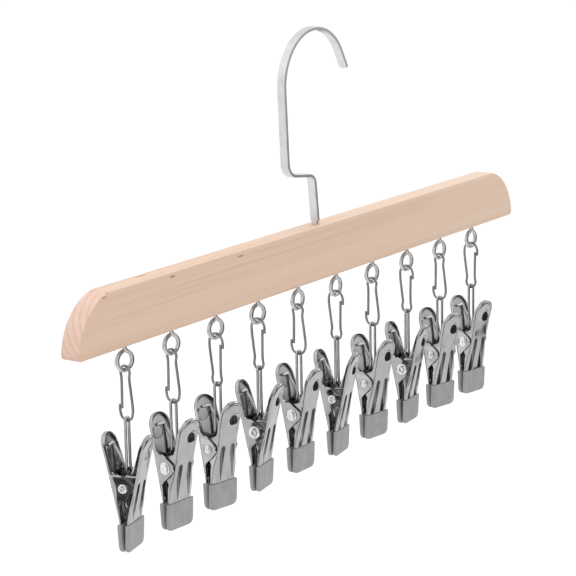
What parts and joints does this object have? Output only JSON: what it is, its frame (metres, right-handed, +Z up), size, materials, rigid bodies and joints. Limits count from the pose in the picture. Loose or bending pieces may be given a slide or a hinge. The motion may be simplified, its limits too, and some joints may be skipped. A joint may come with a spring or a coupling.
{
  "type": "belt hanger",
  "caption": "Wooden bar on a swivelling flat steel hook, with a row of screw eyes, wire snap links and sprung steel clips with sleeved tips for hanging belts.",
  "frame": {"origin": "on the hook's swivel axis, at the height where a wardrobe rod bears inside the hook's crown", "axes": "+X along the bar towards the side of the hook's tip, +Y from the front face to the back, +Z up"},
  "size_m": [0.352, 0.0214, 0.2038],
  "materials": {
    "wood": "pale sanded hardwood",
    "hook_steel": "satin strip",
    "wire_steel": "bright drawn wire",
    "clip_steel": "polished sheet",
    "sleeve": "soft grey sleeve"
  },
  "bodies": {
    "hook": {"hook": "hook_steel"},
    "bar": {"bar": "wood", "hook_washer": "hook_steel", "screw_eye_01": "wire_steel", "screw_eye_02": "wire_steel", "screw_eye_03": "wire_steel", "screw_eye_04": "wire_steel", "screw_eye_05": "wire_steel", "screw_eye_06": "wire_steel", "screw_eye_07": "wire_steel", "screw_eye_08": "wire_steel", "screw_eye_09": "wire_steel", "screw_eye_10": "wire_steel"},
    "link_01": {"snap_link_01": "wire_steel"},
    "clip_01": {"clip_spring_01": "wire_steel"},
    "rear_jaw_01": {"rear_jaw_01": "clip_steel"},
    "front_jaw_01": {"front_jaw_01": "clip_steel"},
    "link_02": {"snap_link_02": "wire_steel"},
    "clip_02": {"clip_spring_02": "wire_steel"},
    "rear_jaw_02": {"rear_jaw_02": "clip_steel"},
    "front_jaw_02": {"front_jaw_02": "clip_steel"},
    "link_03": {"snap_link_03": "wire_steel"},
    "clip_03": {"clip_spring_03": "wire_steel"},
    "rear_jaw_03": {"rear_jaw_03": "clip_steel"},
    "front_jaw_03": {"front_jaw_03": "clip_steel"},
    "link_04": {"snap_link_04": "wire_steel"},
    "clip_04": {"clip_spring_04": "wire_steel"},
    "rear_jaw_04": {"rear_jaw_04": "clip_steel"},
    "front_jaw_04": {"front_jaw_04": "clip_steel"},
    "link_05": {"snap_link_05": "wire_steel"},
    "clip_05": {"clip_spring_05": "wire_steel"},
    "rear_jaw_05": {"rear_jaw_05": "clip_steel"},
    "front_jaw_05": {"front_jaw_05": "clip_steel"},
    "link_06": {"snap_link_06": "wire_steel"},
    "clip_06": {"clip_spring_06": "wire_steel"},
    "rear_jaw_06": {"rear_jaw_06": "clip_steel"},
    "front_jaw_06": {"front_jaw_06": "clip_steel"},
    "link_07": {"snap_link_07": "wire_steel"},
    "clip_07": {"clip_spring_07": "wire_steel"},
    "rear_jaw_07": {"rear_jaw_07": "clip_steel"},
    "front_jaw_07": {"front_jaw_07": "clip_steel"},
    "link_08": {"snap_link_08": "wire_steel"},
    "clip_08": {"clip_spring_08": "wire_steel"},
    "rear_jaw_08": {"rear_jaw_08": "clip_steel"},
    "front_jaw_08": {"front_jaw_08": "clip_steel"},
    "link_09": {"snap_link_09": "wire_steel"},
    "clip_09": {"clip_spring_09": "wire_steel"},
    "rear_jaw_09": {"rear_jaw_09": "clip_steel"},
    "front_jaw_09": {"front_jaw_09": "clip_steel"},
    "link_10": {"snap_link_10": "wire_steel"},
    "clip_10": {"clip_spring_10": "wire_steel"},
    "rear_jaw_10": {"rear_jaw_10": "clip_steel"},
    "front_jaw_10": {"front_jaw_10": "clip_steel"}
  },
  "joints": [
    {"name": "hook_swivel", "type": "hinge", "parent": "hook", "child": "bar", "pos_m": [0, 0, -0.08883], "axis": [0, 0, 1], "continuous": true},
    {"name": "link_swing_01", "type": "hinge", "parent": "bar", "child": "link_01", "pos_m": [-0.14175, 0, -0.12513], "axis": [0.9945, -0.1045, 0], "range_deg": [-70, 70]},
    {"name": "clip_swing_01", "type": "hinge", "parent": "link_01", "child": "clip_01", "pos_m": [-0.14175, 0, -0.14668], "axis": [0.1045, 0.9945, 0], "range_deg": [-7, 7]},
    {"name": "jaw_open_01", "type": "hinge", "parent": "clip_01", "child": "rear_jaw_01", "pos_m": [-0.14175, 0, -0.1743], "axis": [0.9703, 0.2419, 0], "range_deg": [0, 14], "stiffness_Nm_per_rad": 0.1, "springref_deg": -28.65, "deforming": ["clip_spring_01"]},
    {"name": "front_jaw_open_01", "type": "hinge", "parent": "clip_01", "child": "front_jaw_01", "pos_m": [-0.14175, 0, -0.1743], "axis": [-0.9703, -0.2419, 0], "range_deg": [0, 14]},
    {"name": "link_swing_02", "type": "hinge", "parent": "bar", "child": "link_02", "pos_m": [-0.11025, 0, -0.12513], "axis": [0.9976, -0.0698, 0], "range_deg": [-70, 70]},
    {"name": "clip_swing_02", "type": "hinge", "parent": "link_02", "child": "clip_02", "pos_m": [-0.11025, 0, -0.14668], "axis": [0.0698, 0.9976, 0], "range_deg": [-7, 7]},
    {"name": "jaw_open_02", "type": "hinge", "parent": "clip_02", "child": "rear_jaw_02", "pos_m": [-0.11025, 0, -0.1743], "axis": [0.9986, -0.0523, 0], "range_deg": [0, 14], "stiffness_Nm_per_rad": 0.1, "springref_deg": -28.65, "deforming": ["clip_spring_02"]},
    {"name": "front_jaw_open_02", "type": "hinge", "parent": "clip_02", "child": "front_jaw_02", "pos_m": [-0.11025, 0, -0.1743], "axis": [-0.9986, 0.0523, 0], "range_deg": [0, 14]},
    {"name": "link_swing_03", "type": "hinge", "parent": "bar", "child": "link_03", "pos_m": [-0.07875, 0, -0.12513], "axis": [0.9986, -0.0523, 0], "range_deg": [-70, 70]},
    {"name": "clip_swing_03", "type": "hinge", "parent": "link_03", "child": "clip_03", "pos_m": [-0.07875, 0, -0.14668], "axis": [0.0523, 0.9986, 0], "range_deg": [-7, 7]},
    {"name": "jaw_open_03", "type": "hinge", "parent": "clip_03", "child": "rear_jaw_03", "pos_m": [-0.07875, 0, -0.1743], "axis": [0.9877, -0.1564, 0], "range_deg": [0, 14], "stiffness_Nm_per_rad": 0.1, "springref_deg": -28.65, "deforming": ["clip_spring_03"]},
    {"name": "front_jaw_open_03", "type": "hinge", "parent": "clip_03", "child": "front_jaw_03", "pos_m": [-0.07875, 0, -0.1743], "axis": [-0.9877, 0.1564, 0], "range_deg": [0, 14]},
    {"name": "link_swing_04", "type": "hinge", "parent": "bar", "child": "link_04", "pos_m": [-0.04725, 0, -0.12513], "axis": [0.9976, -0.0698, 0], "range_deg": [-70, 70]},
    {"name": "clip_swing_04", "type": "hinge", "parent": "link_04", "child": "clip_04", "pos_m": [-0.04725, 0, -0.14668], "axis": [0.0698, 0.9976, 0], "range_deg": [-7, 7]},
    {"name": "jaw_open_04", "type": "hinge", "parent": "clip_04", "child": "rear_jaw_04", "pos_m": [-0.04725, 0, -0.1743], "axis": [0.9744, 0.225, 0], "range_deg": [0, 14], "stiffness_Nm_per_rad": 0.1, "springref_deg": -28.65, "deforming": ["clip_spring_04"]},
    {"name": "front_jaw_open_04", "type": "hinge", "parent": "clip_04", "child": "front_jaw_04", "pos_m": [-0.04725, 0, -0.1743], "axis": [-0.9744, -0.225, 0], "range_deg": [0, 14]},
    {"name": "link_swing_05", "type": "hinge", "parent": "bar", "child": "link_05", "pos_m": [-0.01575, 0, -0.12513], "axis": [0.9976, 0.0698, 0], "range_deg": [-70, 70]},
    {"name": "clip_swing_05", "type": "hinge", "parent": "link_05", "child": "clip_05", "pos_m": [-0.01575, 0, -0.14668], "axis": [-0.0698, 0.9976, 0], "range_deg": [-7, 7]},
    {"name": "jaw_open_05", "type": "hinge", "parent": "clip_05", "child": "rear_jaw_05", "pos_m": [-0.01575, 0, -0.1743], "axis": [0.9998, 0.0175, 0], "range_deg": [0, 14], "stiffness_Nm_per_rad": 0.1, "springref_deg": -28.65, "deforming": ["clip_spring_05"]},
    {"name": "front_jaw_open_05", "type": "hinge", "parent": "clip_05", "child": "front_jaw_05", "pos_m": [-0.01575, 0, -0.1743], "axis": [-0.9998, -0.0175, 0], "range_deg": [0, 14]},
    {"name": "link_swing_06", "type": "hinge", "parent": "bar", "child": "link_06", "pos_m": [0.01575, 0, -0.12513], "axis": [0.9962, 0.0872, 0], "range_deg": [-70, 70]},
    {"name": "clip_swing_06", "type": "hinge", "parent": "link_06", "child": "clip_06", "pos_m": [0.01575, 0, -0.14668], "axis": [-0.0872, 0.9962, 0], "range_deg": [-7, 7]},
    {"name": "jaw_open_06", "type": "hinge", "parent": "clip_06", "child": "rear_jaw_06", "pos_m": [0.01575, 0, -0.1743], "axis": [0.9744, 0.225, 0], "range_deg": [0, 14], "stiffness_Nm_per_rad": 0.1, "springref_deg": -28.65, "deforming": ["clip_spring_06"]},
    {"name": "front_jaw_open_06", "type": "hinge", "parent": "clip_06", "child": "front_jaw_06", "pos_m": [0.01575, 0, -0.1743], "axis": [-0.9744, -0.225, 0], "range_deg": [0, 14]},
    {"name": "link_swing_07", "type": "hinge", "parent": "bar", "child": "link_07", "pos_m": [0.04725, 0, -0.12513], "axis": [0.9986, -0.0523, 0], "range_deg": [-70, 70]},
    {"name": "clip_swing_07", "type": "hinge", "parent": "link_07", "child": "clip_07", "pos_m": [0.04725, 0, -0.14668], "axis": [0.0523, 0.9986, 0], "range_deg": [-7, 7]},
    {"name": "jaw_open_07", "type": "hinge", "parent": "clip_07", "child": "rear_jaw_07", "pos_m": [0.04725, 0, -0.1743], "axis": [0.9945, -0.1045, 0], "range_deg": [0, 14], "stiffness_Nm_per_rad": 0.1, "springref_deg": -28.65, "deforming": ["clip_spring_07"]},
    {"name": "front_jaw_open_07", "type": "hinge", "parent": "clip_07", "child": "front_jaw_07", "pos_m": [0.04725, 0, -0.1743], "axis": [-0.9945, 0.1045, 0], "range_deg": [0, 14]},
    {"name": "link_swing_08", "type": "hinge", "parent": "bar", "child": "link_08", "pos_m": [0.07875, 0, -0.12513], "axis": [0.9994, -0.0349, 0], "range_deg": [-70, 70]},
    {"name": "clip_swing_08", "type": "hinge", "parent": "link_08", "child": "clip_08", "pos_m": [0.07875, 0, -0.14668], "axis": [0.0349, 0.9994, 0], "range_deg": [-7, 7]},
    {"name": "jaw_open_08", "type": "hinge", "parent": "clip_08", "child": "rear_jaw_08", "pos_m": [0.07875, 0, -0.1743], "axis": [0.9925, 0.1219, 0], "range_deg": [0, 14], "stiffness_Nm_per_rad": 0.1, "springref_deg": -28.65, "deforming": ["clip_spring_08"]},
    {"name": "front_jaw_open_08", "type": "hinge", "parent": "clip_08", "child": "front_jaw_08", "pos_m": [0.07875, 0, -0.1743], "axis": [-0.9925, -0.1219, 0], "range_deg": [0, 14]},
    {"name": "link_swing_09", "type": "hinge", "parent": "bar", "child": "link_09", "pos_m": [0.11025, 0, -0.12513], "axis": [0.9986, -0.0523, 0], "range_deg": [-70, 70]},
    {"name": "clip_swing_09", "type": "hinge", "parent": "link_09", "child": "clip_09", "pos_m": [0.11025, 0, -0.14668], "axis": [0.0523, 0.9986, 0], "range_deg": [-7, 7]},
    {"name": "jaw_open_09", "type": "hinge", "parent": "clip_09", "child": "rear_jaw_09", "pos_m": [0.11025, 0, -0.1743], "axis": [0.9781, -0.2079, 0], "range_deg": [0, 14], "stiffness_Nm_per_rad": 0.1, "springref_deg": -28.65, "deforming": ["clip_spring_09"]},
    {"name": "front_jaw_open_09", "type": "hinge", "parent": "clip_09", "child": "front_jaw_09", "pos_m": [0.11025, 0, -0.1743], "axis": [-0.9781, 0.2079, 0], "range_deg": [0, 14]},
    {"name": "link_swing_10", "type": "hinge", "parent": "bar", "child": "link_10", "pos_m": [0.14175, 0, -0.12513], "axis": [0.9994, 0.0349, 0], "range_deg": [-70, 70]},
    {"name": "clip_swing_10", "type": "hinge", "parent": "link_10", "child": "clip_10", "pos_m": [0.14175, 0, -0.14668], "axis": [-0.0349, 0.9994, 0], "range_deg": [-7, 7]},
    {"name": "jaw_open_10", "type": "hinge", "parent": "clip_10", "child": "rear_jaw_10", "pos_m": [0.14175, 0, -0.1743], "axis": [0.9848, -0.1736, 0], "range_deg": [0, 14], "stiffness_Nm_per_rad": 0.1, "springref_deg": -28.65, "deforming": ["clip_spring_10"]},
    {"name": "front_jaw_open_10", "type": "hinge", "parent": "clip_10", "child": "front_jaw_10", "pos_m": [0.14175, 0, -0.1743], "axis": [-0.9848, 0.1736, 0], "range_deg": [0, 14]}
  ],
  "couplings": [
    {"joint": "front_jaw_open_01", "follows": "jaw_open_01", "ratio": 1},
    {"joint": "front_jaw_open_02", "follows": "jaw_open_02", "ratio": 1},
    {"joint": "front_jaw_open_03", "follows": "jaw_open_03", "ratio": 1},
    {"joint": "front_jaw_open_04", "follows": "jaw_open_04", "ratio": 1},
    {"joint": "front_jaw_open_05", "follows": "jaw_open_05", "ratio": 1},
    {"joint": "front_jaw_open_06", "follows": "jaw_open_06", "ratio": 1},
    {"joint": "front_jaw_open_07", "follows": "jaw_open_07", "ratio": 1},
    {"joint": "front_jaw_open_08", "follows": "jaw_open_08", "ratio": 1},
    {"joint": "front_jaw_open_09", "follows": "jaw_open_09", "ratio": 1},
    {"joint": "front_jaw_open_10", "follows": "jaw_open_10", "ratio": 1}
  ]
}
